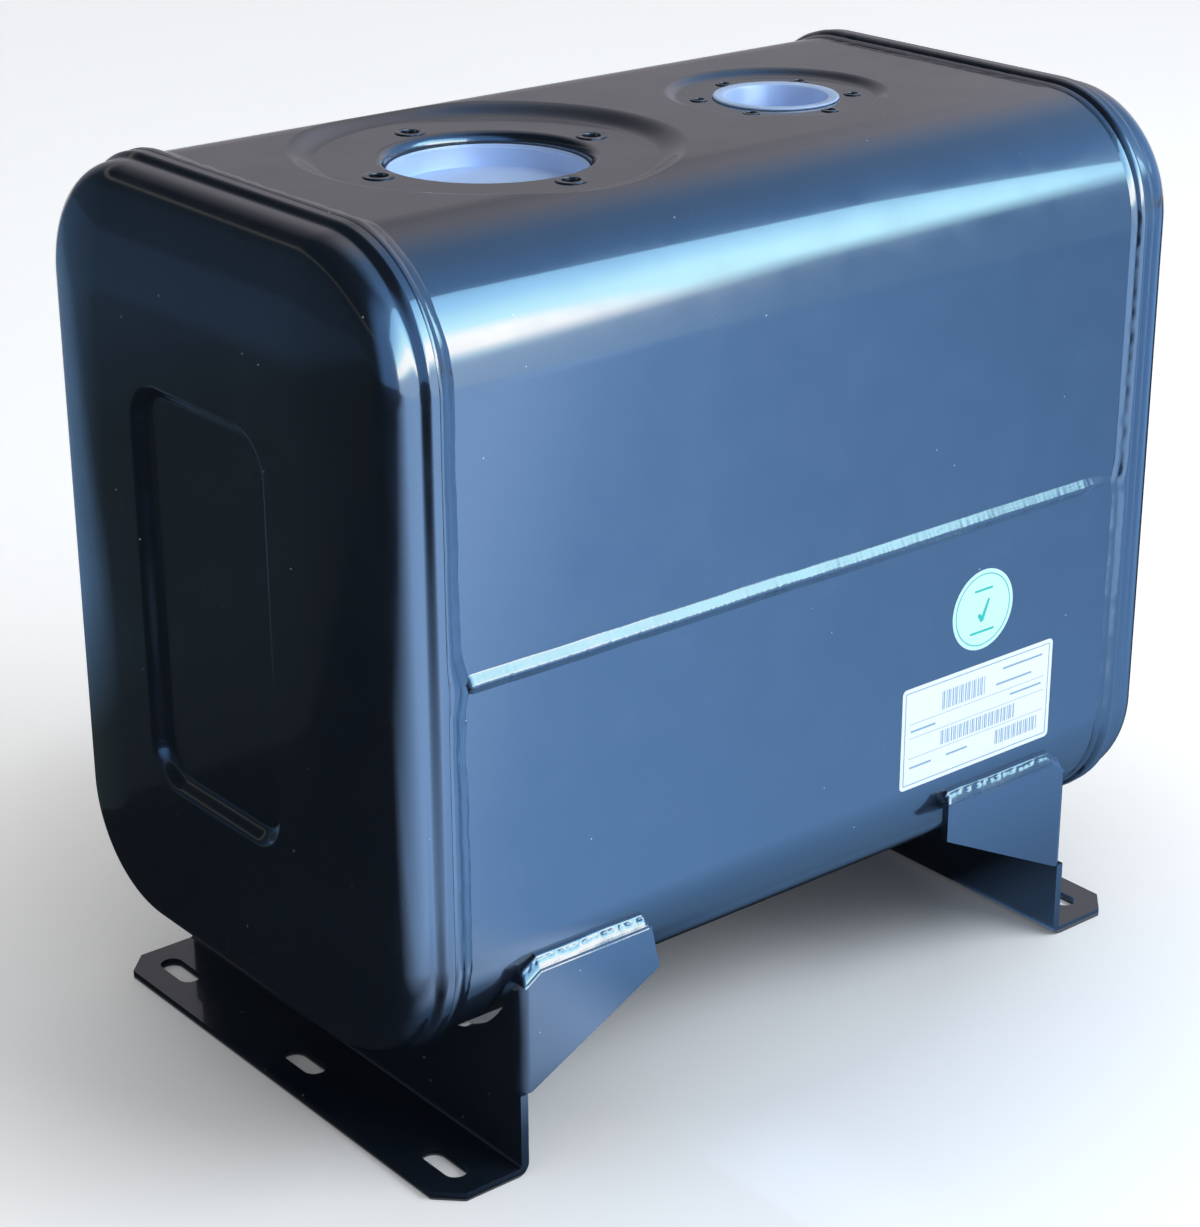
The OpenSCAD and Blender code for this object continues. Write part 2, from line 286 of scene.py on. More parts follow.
def rounded_ring(bm, width, height, radius, x, straight_cuts=0):
    """Loop of edges round a rectangle with round corners, across the tank at X."""
    made = bmesh.ops.create_grid(bm, x_segments=1, y_segments=1, size=0.5)["verts"]
    for v in made:
        v.co = Vector((x, v.co.x * width, MID_Z + v.co.y * height))
    bmesh.ops.bevel(
        bm, geom=made, offset=radius, offset_type="OFFSET", segments=CORNER_STEPS,
        profile=0.5, affect="VERTICES", material=-1, clamp_overlap=False,
    )
    bmesh.ops.delete(bm, geom=list(bm.faces), context="FACES_ONLY")
    if straight_cuts:
        longest = sorted(bm.edges, key=lambda e: -e.calc_length())[:4]
        bmesh.ops.subdivide_edges(bm, edges=longest, cuts=straight_cuts)
    return list(bm.edges)


def reshape(verts, old, new):
    """Moves a loop from one rounded rectangle to another: each is width, height, radius and X."""
    core_old = (old[0] / 2 - old[2], old[1] / 2 - old[2])
    core_new = (new[0] / 2 - new[2], new[1] / 2 - new[2])
    for v in verts:
        y, z = v.co.y, v.co.z - MID_Z
        cy = max(-core_old[0], min(core_old[0], y))
        cz = max(-core_old[1], min(core_old[1], z))
        grow = new[2] / old[2]
        v.co = Vector((
            new[3],
            cy * core_new[0] / core_old[0] + (y - cy) * grow,
            MID_Z + cz * core_new[1] / core_old[1] + (z - cz) * grow,
        ))


def loft(rings, straight_cuts=0, move=None):
    """Skin through a row of rounded rectangles; move may shift the vertices of each loop."""
    bm = bmesh.new()
    edges = rounded_ring(bm, *rings[0], straight_cuts)
    loops = [(edges, list(bm.verts))]
    for old, new in zip(rings, rings[1:]):
        edges, verts = extrude_loop(bm, loops[-1][0])
        reshape(verts, old, new)
        loops.append((edges, verts))
    if move:
        for index, (_, verts) in enumerate(loops):
            move(index, verts)
    return bm, loops[0][0], loops[-1][0]


def grown(offset, x):
    """Rounded rectangle of the shell grown by an offset."""
    return (WIDTH + 2 * offset, HEIGHT + 2 * offset, CORNER + offset, x)


# End cap: width, height and corner radius of its panel, then its edges, crown, joggle and rim
PANEL = (102 * MM, 188 * MM, 20 * MM)
PANEL_DEPTH = 6 * MM
PANEL_SOFT = 1.5 * MM
PANEL_WALL = 5 * MM
EDGE_RADIUS = 14 * MM
EDGE_STEPS = 14
CROWN = 166 * MM
CROWN_STEPS = 12
# Share of the crown's fall that is lofted before the panel
CROWN_SHARE = 0.9
JOGGLE_STEPS = 8
SKIRT_END = 22 * MM
JOGGLE_END = 27 * MM
RIM_ROUND = 1.4 * MM
RIM_STEPS = 5


def cap_rings(side):
    """Rounded rectangles from a cap's rim over its joggle, skirt and crowned face to the sunk panel."""
    def at(depth):
        return side * (HALF_LENGTH - depth)

    rings = []
    for i in range(RIM_STEPS + 1):
        angle = math.pi / 2 * i / RIM_STEPS
        inset = RIM_ROUND * (1 - math.sin(angle))
        rings.append(grown(RIM_OUT - inset, at(CAP_DEPTH - RIM_ROUND * (1 - math.cos(angle)))))
    for i in range(JOGGLE_STEPS + 1):
        t = i / JOGGLE_STEPS
        rings.append(grown(RIM_OUT * (1 - smooth_step(t)), at(JOGGLE_END + (SKIRT_END - JOGGLE_END) * t)))
    across = CORNER - EDGE_RADIUS
    edge_depth = CROWN - math.sqrt((CROWN - EDGE_RADIUS) ** 2 - across**2)
    fall = math.asin(across / (CROWN - EDGE_RADIUS))
    for i in range(EDGE_STEPS + 1):
        angle = (math.pi / 2 - fall) * i / EDGE_STEPS
        depth = edge_depth - EDGE_RADIUS * math.sin(angle)
        rings.append(grown(EDGE_RADIUS * (math.cos(angle) - 1), at(depth)))
    for i in range(1, CROWN_STEPS + 1):
        angle = fall * (1 - CROWN_SHARE * i / CROWN_STEPS)
        rings.append(grown(CROWN * math.sin(angle) - CORNER, at(CROWN * (1 - math.cos(angle)))))
    run = PANEL_WALL + 2 * PANEL_SOFT
    for i in range(WALL_STEPS + 1):
        t = i / WALL_STEPS
        inward = run * t - PANEL_SOFT
        rings.append((
            PANEL[0] - 2 * inward, PANEL[1] - 2 * inward, PANEL[2] - inward,
            at(PANEL_DEPTH * smooth_step(t)),
        ))
    return rings


def cap_skin(side):
    """One pressed end cap."""
    bm, _, last = loft(cap_rings(side))
    bmesh.ops.edgeloop_fill(bm, edges=last)
    bmesh.ops.recalc_face_normals(bm, faces=bm.faces)
    outermost = max(bm.faces, key=lambda f: side * f.calc_center_median().x)
    if outermost.normal.x * side < 0:
        bmesh.ops.reverse_faces(bm, faces=bm.faces)
    return bm


# Section of an end weld: offset out from the shell, distance from the rim's edge, share of the wander
BEAD = (
    (2.3, -2.4, 0.0), (2.95, -1.9, 0.2), (3.2, -0.8, 0.4), (3.15, 0.4, 0.6), (2.8, 1.7, 0.7),
    (2.2, 3.1, 0.8), (1.1, 4.5, 0.9), (0.95, 6.2, 1.0), (0.45, 7.8, 1.0), (0.05, 9.0, 1.0),
    (-0.5, 9.4, 1.0), (-0.7, 3.0, 0.0),
)

# Share of that reach along the shell at the left and the right end
BEAD_REACH = {-1: 1.0, 1: 0.75}
# Millimetres by which the toe draws back past the seam, at the left and the right end
BEAD_BACK = {-1: 2.6, 1: 1.2}
BEAD_CUTS = 110
# Scales of the toe's broad and fine wander
BROAD = 28
FINE = 150
# Swell where the seam runs in: millimetres, half width, and run over which it sets in round the corner
SWELL = 2.2
SWELL_HALF = 7 * MM
SWELL_RUN = 25 * MM


def end_weld_mesh(side, ripple):
    """Fillet weld round a cap's rim, with a wavy toe that swells where the seam runs into it."""
    rings = []
    for out, along, _ in BEAD:
        reach = along * BEAD_REACH[side] if along > 0 else along
        rings.append(grown(out * MM, side * (RIM_X - reach * MM)))

    def settle(index, verts):
        loose = BEAD[index][2]
        for v in verts:
            out = Vector((0, v.co.y, v.co.z - MID_Z)).normalized()
            broad = wander(0.3 * side, v.co.y, v.co.z, BROAD)
            fine = wander(0.7 * side, v.co.y, v.co.z, FINE)
            front = smooth_step(clamp((CORNER - SIDE_Y - v.co.y) / SWELL_RUN))
            rise = side * (v.co.z - MID_Z)
            tail = smooth_step(clamp((rise + SEAM_TAIL) / SEAM_TAIL))
            swell = SWELL * math.exp(-(rise / SWELL_HALF) ** 2)
            drawn = BEAD_BACK[side] * (tail if side > 0 else 1 - tail)
            toe = 0.8 * broad + 0.25 * fine + front * (swell - drawn)
            v.co.x -= side * loose * toe * MM
            v.co += out * loose * ripple * (0.4 * fine + 0.5 * broad)

    bm, first, last = loft(rings, straight_cuts=BEAD_CUTS, move=settle)
    bmesh.ops.bridge_loops(bm, edges=first + last)
    bmesh.ops.recalc_face_normals(bm, faces=bm.faces)
    return bm


# Seam weld: how far its tail runs into an end weld, its ripples, and its section's ridge and toe
SEAM_TAIL = 22 * MM
SEAM_PITCH = 2.4 * MM
SEAM_RIDGE = 0.14
SEAM_TOE = 0.92
SEAM_OFF = 1.0 * MM
SEAM_GRID = (1100, 26)
# Runs of its blunt left end and its pointed right end, and the share of the size that the point keeps
SEAM_BLUNT = 3 * MM
SEAM_POINT = 20 * MM
SEAM_TIP = 0.2
# Drift of its line and raggedness of its ridge
SEAM_DRIFT = 0.35 * MM
SEAM_RAG = 0.035
# Share of the welds' ripple that the seam has
SEAM_RIPPLE = 0.05
# Depths of its toes and its root below the shell's surface
SEAM_SKIN = 0.05 * MM
SEAM_ROOT = 0.8 * MM


def roof(across):
    """Section of the seam from 1 at its ridge to 0 at its toes, with both of them rounded."""
    s = min(1.0, abs(across))
    area = (SEAM_TOE - SEAM_RIDGE) + SEAM_RIDGE / 2 + (1 - SEAM_TOE) / 2
    if s < SEAM_RIDGE:
        drop = s * s / (2 * SEAM_RIDGE)
    elif s < SEAM_TOE:
        drop = s - SEAM_RIDGE / 2
    else:
        drop = s - SEAM_RIDGE / 2 - (s - SEAM_TOE) ** 2 / (2 * (1 - SEAM_TOE))
    return 1 - drop / area


def seam_mesh(width, height, ripple):
    """Seam along the front: a ridge with fine ripples, blunt at the left and pointed at the right."""
    left = 1.5 * MM - RIM_X + END_WELD_LEG
    right = RIM_X - END_WELD_LEG - 1 * MM
    bm = bmesh.new()
    bmesh.ops.create_grid(bm, x_segments=SEAM_GRID[0], y_segments=SEAM_GRID[1], size=0.5)
    rim = [e for e in bm.edges if e.is_boundary]
    for v in bm.verts:
        x = left + (right - left) * (v.co.x + 0.5)
        across = 2 * v.co.y
        ragged = across + SEAM_RAG * (1 - across * across) * wander(x, 1.3, 0, 430)
        blunt = min(1.0, (x - left) / SEAM_BLUNT)
        point = min(1.0, (right - x) / SEAM_POINT)
        size = round_end(blunt) * (SEAM_TIP + (1 - SEAM_TIP) * math.sqrt(point))
        spread = size * (1 + 0.06 * wander(x, 0.2, 0, 60))
        beat = math.sin(2 * math.pi * (x / SEAM_PITCH + 0.5 * across**2 + 0.8 * wander(x, 0.9, 0, 40)))
        grain = 0.2 * beat + wander(x, across, 0.5, 330) + 1.1 * wander(x, across * 0.3, 0.7, 140)
        lift = size * (height + ripple * grain) * roof(ragged)
        drift = SEAM_DRIFT * wander(x, 0.5, 0.1, 18)
        height_z = MID_Z + SEAM_OFF + drift + across * width / 2 * spread
        v.co = Vector((x, SEAM_SKIN - SIDE_Y - lift, height_z))
    made = bmesh.ops.extrude_edge_only(bm, edges=rim)["geom"]
    for v in [item for item in made if isinstance(item, bmesh.types.BMVert)]:
        v.co.y = SEAM_ROOT - SIDE_Y
    bmesh.ops.edgeloop_fill(bm, edges=[e for e in bm.edges if e.is_boundary])
    bmesh.ops.recalc_face_normals(bm, faces=bm.faces)
    return bm


# Section of an ear weld: depth in from the ear's face and height over its top edge
EAR_SECTION = ((-0.25, -1.3), (1.05, 1.0), (2.6, 3.3), (3.8, 4.75), (5.4, 5.75), (7.0, 6.2))
# Groove between its two passes: place and half width on the section, and depth
EAR_STREAK = (0.42, 0.07, 0.5 * MM)
EAR_GRID = (260, 36)
# Reach of the weld past the ear's two ends, and of the bent plate past the ear's start
EAR_NEAR = 0.6 * MM
EAR_FAR = 3 * MM
PLATE = 4 * MM
# Slope of a bend's top: its run along the ear and its drop
BEND_RUN = 10 * MM
BEND_DROP = 6.5 * MM
# How much shorter the ears of a foot are at their top and lower corners
EAR_SHORT = {"left": (11 * MM, 6 * MM), "right": (0, 0)}


def ear_trims(name, side):
    """Planes that slope the tops of a foot's bends and cut its ears to length, each with its outward side."""
    slope = Vector((side * BEND_DROP, 0, BEND_RUN))
    trims = [(Vector((side * (EAR_START + PLATE - BEND_RUN), 0, EAR_TOP)), slope.normalized())]
    top, low = EAR_SHORT[name]
    if top:
        end = Vector((-side * EAR_FREE, 0, top - low))
        trims.append((Vector((side * (EAR_END + top), 0, EAR_TOP)), end.normalized()))
    return trims


def section_spot(t):
    """Point on an ear weld's section, from its lower toe at 0 to its upper toe at 1."""
    step = min(len(EAR_SECTION) - 2, int(t * (len(EAR_SECTION) - 1)))
    share = t * (len(EAR_SECTION) - 1) - step
    return Vector(EAR_SECTION[step]).lerp(Vector(EAR_SECTION[step + 1]), share) * MM


def ear_weld_mesh(side_x, side_y, ripple, shorter):
    """Fillet weld of two passes along the top of one ear."""
    bm = bmesh.new()
    bmesh.ops.create_grid(bm, x_segments=EAR_GRID[0], y_segments=EAR_GRID[1], size=0.5)
    rim = [e for e in bm.edges if e.is_boundary]
    near = EAR_END + shorter + EAR_NEAR
    far = EAR_START + EAR_FAR
    place, half, groove = EAR_STREAK
    for v in bm.verts:
        t = v.co.y + 0.5
        u = v.co.x + 0.5
        along = near + (far - near) * u
        ends = round_end(min(1.0, 30 * u, 40 * (1 - u)))
        spot = section_spot(t)
        size = ends * (1 + 0.1 * wander(along * side_x, 7.0 * side_y, 0, 45))
        grain = wander(along * side_x, 2.0, t * 0.012, 160)
        reach = (t - place - 0.03 * wander(along, 4.0, 0.0, 90)) / half
        streak = math.exp(-reach * reach) * max(0.0, 0.4 + 1.6 * wander(along, 9.0, 0, 300))
        depth = spot.x + (1 - size) * 2.5 * MM * t + groove * streak
        depth -= 0.25 * ripple * grain * math.sin(math.pi * t)
        bend = max(0.0, (along - EAR_START - PLATE + BEND_RUN) / BEND_RUN)
        height = EAR_TOP + spot.y * (0.25 + 0.75 * size) - BEND_DROP * bend
        v.co = Vector((side_x * along, side_y * (EAR_OUTER - depth), height))
    made = bmesh.ops.extrude_edge_only(bm, edges=rim)["geom"]
    for v in [item for item in made if isinstance(item, bmesh.types.BMVert)]:
        v.co.y = side_y * min(side_y * v.co.y, side_surface(v.co.z) - 1.0 * MM)
    bmesh.ops.edgeloop_fill(bm, edges=[e for e in bm.edges if e.is_boundary])
    bmesh.ops.recalc_face_normals(bm, faces=bm.faces)
    return bm


def softened_copy(nodes, width, steps, trims=()):
    """Joined copy of CAD nodes with merged faces and softened edges, cut off at the given planes."""
    bm = bmesh.new()
    for name in nodes:
        bm.from_mesh(bpy.data.objects[name].data)
    bmesh.ops.remove_doubles(bm, verts=bm.verts, dist=1e-6)
    bmesh.ops.dissolve_limit(
        bm, angle_limit=math.radians(1.0), use_dissolve_boundaries=False, verts=bm.verts, edges=bm.edges,
    )
    for spot, way in trims:
        bmesh.ops.bisect_plane(
            bm, geom=[*bm.verts, *bm.edges, *bm.faces], plane_co=spot, plane_no=way, clear_outer=True,
        )
        bmesh.ops.holes_fill(bm, edges=[e for e in bm.edges if e.is_boundary], sides=0)
        bmesh.ops.recalc_face_normals(bm, faces=bm.faces)
    sharp = [e for e in bm.edges if len(e.link_faces) == 2 and e.calc_face_angle(0.0) > math.radians(40)]
    bmesh.ops.bevel(
        bm, geom=sharp, offset=width, offset_type="OFFSET", segments=steps,
        profile=0.5, affect="EDGES", material=-1, clamp_overlap=True,
    )
    return bm


def turned(outline, x, base):
    """Spins an outline of radius and height round an upright axis."""
    bm = bmesh.new()
    verts = [bm.verts.new((x + r, 0, base + z)) for r, z in outline]
    edges = [bm.edges.new(pair) for pair in zip(verts, verts[1:])]
    bmesh.ops.spin(
        bm, geom=verts + edges, cent=(x, 0, base), axis=(0, 0, 1), angle=2 * math.pi,
        steps=96, use_merge=True,
    )
    bmesh.ops.remove_doubles(bm, verts=bm.verts, dist=1e-6)
    bmesh.ops.recalc_face_normals(bm, faces=bm.faces)
    return bm


# Plugs: wall and gap in the bore, and for each its rim below the recess and its shape
PLUG_WALL = 1.8 * MM
PLUG_GAP = 0.3 * MM
PLUGS = {
    "large": (5 * MM, {"depth": 12 * MM}),
    "small": (0, {"depth": 26 * MM, "lip": 1.2 * MM, "flange": 29.5 * MM}),
}


def plug_outline(cup, depth, lip=0.0, flange=0.0):
    """Outline of a plastic cup with rounded lips: radius and height from its rim."""
    inner = cup - PLUG_WALL
    floor = PLUG_WALL - depth
    outline = [(0, -depth), (cup - 1.5 * MM, -depth), (cup, 1.5 * MM - depth)]
    if flange:
        outline += [(cup, 0), (flange - 0.4 * MM, 0), (flange, 0.4 * MM), (flange, lip - 0.5 * MM)]
        outline += [(flange - 0.5 * MM, lip), (inner + 1.6 * MM, lip), (inner + 0.5 * MM, lip - 0.5 * MM)]
        outline += [(inner, lip - 1.6 * MM)]
    else:
        outline += [(cup, -0.5 * MM), (cup - 0.5 * MM, 0), (inner + 0.9 * MM, 0)]
        outline += [(inner + 0.7 * MM, -0.5 * MM), (inner + 0.6 * MM, -1.2 * MM)]
        outline += [(inner + 0.1 * MM, -1.4 * MM), (inner, -1.9 * MM)]
    outline += [(inner - 0.4 * MM, floor + 2.2 * MM), (inner - 1.1 * MM, floor + 0.6 * MM)]
    outline += [(inner - 2.6 * MM, floor), (3.4 * MM, floor), (3.0 * MM, floor + 0.5 * MM)]
    outline += [(1.0 * MM, floor + 0.5 * MM), (0, floor + 0.3 * MM)]
    return outline


def scaled(color, share):
    """Colour made lighter or darker by a share."""
    return tuple(c * share for c in color[:3]) + (1.0,)


class Nodes:
    """Short way to lay out the nodes of a material or of the world."""

    def __init__(self, owner, shader="Principled BSDF"):
        owner.use_nodes = True
        self.owner = owner
        self.tree = owner.node_tree
        self.shader = self.tree.nodes[shader]

    def put(self, socket, value):
        """Links an output to a socket, or sets the socket's own value."""
        if isinstance(value, bpy.types.NodeSocket):
            self.tree.links.new(value, socket)
        else:
            socket.default_value = value

    def add(self, kind, settings=None, **inputs):
        """New node with its settings, and its inputs by name."""
        made = self.tree.nodes.new(kind)
        for key, value in (settings or {}).items():
            setattr(made, key, value)
        for key, value in inputs.items():
            self.put(made.inputs[key.replace("_", " ")], value)
        return made

    def feed(self, **inputs):
        """Sets or links inputs of the shader."""
        for key, value in inputs.items():
            self.put(self.shader.inputs[key.replace("_", " ")], value)

    def place(self):
        """Coordinates on the piece itself."""
        return self.add("ShaderNodeTexCoord").outputs["Object"]

    def noise(self, place, scale, detail):
        """Soft noise between 0 and 1."""
        return self.add("ShaderNodeTexNoise", Vector=place, Scale=scale, Detail=detail).outputs[0]

    def math(self, operation, *values):
        """Sum, product or other operation on values."""
        made = self.add("ShaderNodeMath", {"operation": operation})
        for socket, value in zip(made.inputs, values):
            self.put(socket, value)
        return made.outputs[0]

    def ramp(self, value, low, high, start=0.0, end=1.0):
        """Straight line from start to end between two values."""
        return self.add(
            "ShaderNodeMapRange", Value=value, From_Min=low, From_Max=high, To_Min=start, To_Max=end,
        ).outputs[0]

    def mix(self, share, first, second):
        """Blend of two colours."""
        made = self.add("ShaderNodeMix", {"data_type": "RGBA"}, Factor=share)
        self.put(made.inputs[6], first)
        self.put(made.inputs[7], second)
        return made.outputs[2]

    def bands(self, value, rows):
        """Colours that blend along a value: rows of value and colour, in rising order."""
        tone = rows[0][1]
        for (low, _), (high, color) in zip(rows, rows[1:]):
            tone = self.mix(self.ramp(value, low, high), tone, color)
        return tone

    def bump(self, height, strength, distance, **under):
        """Normal of a fine relief, over another relief if given."""
        made = self.add("ShaderNodeBump", Height=height, Strength=strength, Distance=distance, **under)
        return made.outputs[0]


DUST = (0.42, 0.46, 0.5, 1.0)


def paint_material(name, color, peel, rough_bump=0.0):
    """Dark gloss enamel with orange peel, dust specks and faint scuffs."""
    kit = Nodes(bpy.data.materials.new(name))
    place = kit.place()
    cloud = kit.noise(place, 9.0, 4.0)
    cells = kit.add("ShaderNodeTexVoronoi", Vector=place, Scale=95.0)
    speck = kit.ramp(cells.outputs["Distance"], 0.045, 0.02)
    chosen = kit.add("ShaderNodeSeparateColor", Color=cells.outputs["Color"])
    rare = kit.ramp(chosen.outputs[0], 0.72, 0.78)
    tone = kit.mix(kit.ramp(cloud, 0.3, 0.7), color, scaled(color, 1.25))
    dusty = kit.mix(kit.math("MULTIPLY", speck, rare), tone, DUST)
    rough = kit.ramp(kit.noise(place, 38.0, 6.0), 0.35, 0.75, 0.16, 0.3)
    relief = kit.bump(kit.noise(place, 520.0, 2.0), peel, 0.3 * MM)
    if rough_bump:
        relief = kit.bump(kit.noise(place, 900.0, 3.0), rough_bump, 0.5 * MM, Normal=relief)
    kit.feed(Base_Color=dusty, Roughness=rough, Normal=relief)
    kit.feed(Coat_Weight=1.0, Coat_Roughness=0.045, Coat_IOR=1.5, Specular_IOR_Level=0.5)
    return kit.owner


def plastic_material(name, color):
    """Milky moulded plastic with faint clouding and fine moulding marks."""
    kit = Nodes(bpy.data.materials.new(name))
    place = kit.place()
    cloud = kit.noise(place, 60.0, 4.0)
    tone = kit.mix(kit.ramp(cloud, 0.3, 0.7), scaled(color, 0.9), color)
    rough = kit.ramp(cloud, 0.3, 0.7, 0.3, 0.45)
    relief = kit.bump(kit.noise(place, 900.0, 2.0), 0.06, 0.2 * MM)
    kit.feed(Base_Color=tone, Roughness=rough, Normal=relief)
    kit.feed(Subsurface_Weight=0.25, Subsurface_Scale=6 * MM, Subsurface_Radius=(0.8, 0.9, 1.0))
    return kit.owner


def print_material(name, color, rough):
    """Printed film of a sticker with a faint mottle."""
    kit = Nodes(bpy.data.materials.new(name))
    mottle = kit.noise(kit.place(), 420.0, 3.0)
    tone = kit.mix(kit.ramp(mottle, 0.35, 0.65), scaled(color, 0.97), color)
    kit.feed(Base_Color=tone, Normal=kit.bump(mottle, 0.03, 0.1 * MM), Roughness=rough)
    return kit.owner


# Stickers on the front: sides along X and heights from the middle, or middle and radius
STICKER = (57 * MM, 157.7 * MM, -123.6 * MM, -72 * MM)
STICKER_ROUND = 2.5 * MM
DISC = (107.6 * MM, -44.3 * MM, 20 * MM)
FILM = 0.16 * MM
INK = 0.05 * MM
SUNK = 0.1 * MM
# Borders: distance from the sticker's edge, and widths on the rectangle and the disc
BORDER = 2.0 * MM
BORDER_WIDTH = 0.45 * MM
RING_WIDTH = 0.5 * MM
RULE_WIDTH = 0.2 * MM
DASH_WIDTH = 0.9 * MM
# Rules, dashes and stripe groups on the sticker, in shares of its width and height
RULES = ((0.05, 0.95, 0.64), (0.05, 0.95, 0.5), (0.05, 0.95, 0.3))
DASHES = (
    (0.06, 0.22, 0.56), (0.06, 0.2, 0.2), (0.3, 0.44, 0.2), (0.66, 0.93, 0.86), (0.62, 0.86, 0.72),
    (0.72, 0.93, 0.57),
)
STRIPES = ((0.26, 0.54, 0.68, 0.86), (0.26, 0.75, 0.33, 0.47), (0.63, 0.91, 0.12, 0.26))
TICK = ((-3.4, -2.6), (-1.2, -6.2), (0.6, -5.6), (4.4, 4.6), (3.2, 5.0), (-0.6, -3.0), (-2.4, -1.4))


def flat_plate(bm, left, right, low, high, radius=0.0):
    """Flat rectangle in X and Z, with round corners if asked, facing the front."""
    corners = ((left, low), (right, low), (right, high), (left, high))
    verts = [bm.verts.new((x, 0, z)) for x, z in corners]
    face = bm.faces.new(verts)
    if radius:
        bmesh.ops.bevel(
            bm, geom=verts, offset=radius, offset_type="OFFSET", segments=6, profile=0.5,
            affect="VERTICES", material=-1, clamp_overlap=False,
        )
        face = max(bm.faces, key=lambda f: f.calc_area())
    return face


def flat_disc(bm, x, z, radius):
    """Flat disc in X and Z, facing the front."""
    place = Matrix.Translation((x, 0, z)) @ Matrix.Rotation(math.pi / 2, 4, "X")
    made = bmesh.ops.create_circle(bm, cap_ends=True, segments=96, radius=radius, matrix=place)
    return made["verts"][0].link_faces[0]


def keep_ring(bm, face, inset, width):
    """Leaves only a ring of a face: its edge moves in by the inset, and the ring has the width."""
    way = {"use_boundary": True, "use_even_offset": True}
    margin = bmesh.ops.inset_region(bm, faces=[face], thickness=inset, **way)["faces"]
    bmesh.ops.delete(bm, geom=margin, context="FACES")
    bmesh.ops.inset_region(bm, faces=[face], thickness=width, **way)
    bmesh.ops.delete(bm, geom=[face], context="FACES")


def stick_on(bm, low, high):
    """Gives flat shapes a thickness and lays them against the shell's front."""
    made = bmesh.ops.extrude_face_region(bm, geom=list(bm.faces))["geom"]
    top = {item for item in made if isinstance(item, bmesh.types.BMVert)}
    for v in bm.verts:
        height = MID_Z + v.co.z
        v.co = Vector((v.co.x, -side_surface(height) - (high if v in top else low), height))
    bmesh.ops.recalc_face_normals(bm, faces=bm.faces)
    return bm


def sticker_film():
    """Blank film of the rectangular sticker."""
    bm = bmesh.new()
    flat_plate(bm, *STICKER, radius=STICKER_ROUND)
    return stick_on(bm, -SUNK, FILM)


def sticker_print():
    """Border, rules, dashes and plain stripes of the rectangular sticker."""
    bm = bmesh.new()
    left, right, low, high = STICKER
    width, height = right - left, high - low
    keep_ring(bm, flat_plate(bm, *STICKER, radius=STICKER_ROUND), BORDER, BORDER_WIDTH)
    for rows, thick in ((RULES, RULE_WIDTH), (DASHES, DASH_WIDTH)):
        for a, b, z in rows:
            level = low + z * height
            flat_plate(bm, left + a * width, left + b * width, level, level + thick)
    for a, b, z0, z1 in STRIPES:
        x = left + a * width
        step = 0
        while x < left + b * width:
            bar = (0.35 + 0.3 * (step * step % 4)) * MM
            flat_plate(bm, x, x + bar, low + z0 * height, low + z1 * height)
            x += bar + (0.55 + 0.35 * (step * 5 % 3)) * MM
            step += 1
    return stick_on(bm, FILM - INK, FILM + INK)


def disc_print():
    """Ring, tick and two plain bars of the round sticker."""
    bm = bmesh.new()
    x, z, radius = DISC
    keep_ring(bm, flat_disc(bm, x, z, radius), BORDER, RING_WIDTH)
    bm.faces.new([bm.verts.new((x + a * MM, 0, z + b * MM)) for a, b in TICK])
    for half, level in ((6.0 * MM, 9.5 * MM), (8.0 * MM, -11.5 * MM)):
        flat_plate(bm, x - half, x + half, z + level, z + level + 1.1 * MM, radius=0.5 * MM)
    return stick_on(bm, FILM - INK, FILM + INK)


def disc_film():
    """Blank film of the round sticker."""
    bm = bmesh.new()
    flat_disc(bm, *DISC)
    return stick_on(bm, -SUNK, FILM)


class TankLooks(bpy.types.PropertyGroup):
    """Colours and surface detail of the tank."""

    paint: bpy.props.FloatVectorProperty(
        name="Paint", description="Colour of the gloss enamel", subtype="COLOR", size=4,
        min=0, max=1, default=(0.0065, 0.0105, 0.018, 1.0),
    )
    film: bpy.props.FloatVectorProperty(
        name="Sticker", description="Colour of the rectangular sticker", subtype="COLOR", size=4,
        min=0, max=1, default=(0.86, 0.9, 0.9, 1.0),
    )
    mint: bpy.props.FloatVectorProperty(
        name="Round sticker", description="Colour of the round sticker", subtype="COLOR", size=4,
        min=0, max=1, default=(0.62, 0.9, 0.88, 1.0),
    )
    ink: bpy.props.FloatVectorProperty(
        name="Sticker print", description="Colour of the print on the rectangular sticker", subtype="COLOR",
        size=4, min=0, max=1, default=(0.2, 0.36, 0.5, 1.0),
    )
    green: bpy.props.FloatVectorProperty(
        name="Round print", description="Colour of the print on the round sticker", subtype="COLOR",
        size=4, min=0, max=1, default=(0.0, 0.5, 0.38, 1.0),
    )
    # Plugs: milky white plastic, darkened and tinted blue by painted light that stands in for the blue sky
    # light on them
    plastic: bpy.props.FloatVectorProperty(
        name="Plugs", description="Colour of the plastic plugs", subtype="COLOR", size=4,
        min=0, max=1, default=(0.44, 0.6, 0.92, 1.0),
    )
    peel: bpy.props.FloatProperty(
        name="Orange peel", description="Strength of the paint's fine waviness", default=0.03, min=0, max=1,
    )
    ripple: bpy.props.FloatProperty(
        name="Weld ripple", description="Depth of the ripples on the welds", default=0.5 * MM, unit="LENGTH",
    )
    seam_width: bpy.props.FloatProperty(
        name="Seam width", description="Width of the seam weld", default=9.4 * MM, unit="LENGTH",
    )
    seam_height: bpy.props.FloatProperty(
        name="Seam height", description="Height of the seam weld", default=2.7 * MM, unit="LENGTH",
    )
    edge: bpy.props.FloatProperty(
        name="Plate edge", description="Rounding of the plate edges", default=0.7 * MM, unit="LENGTH",
    )


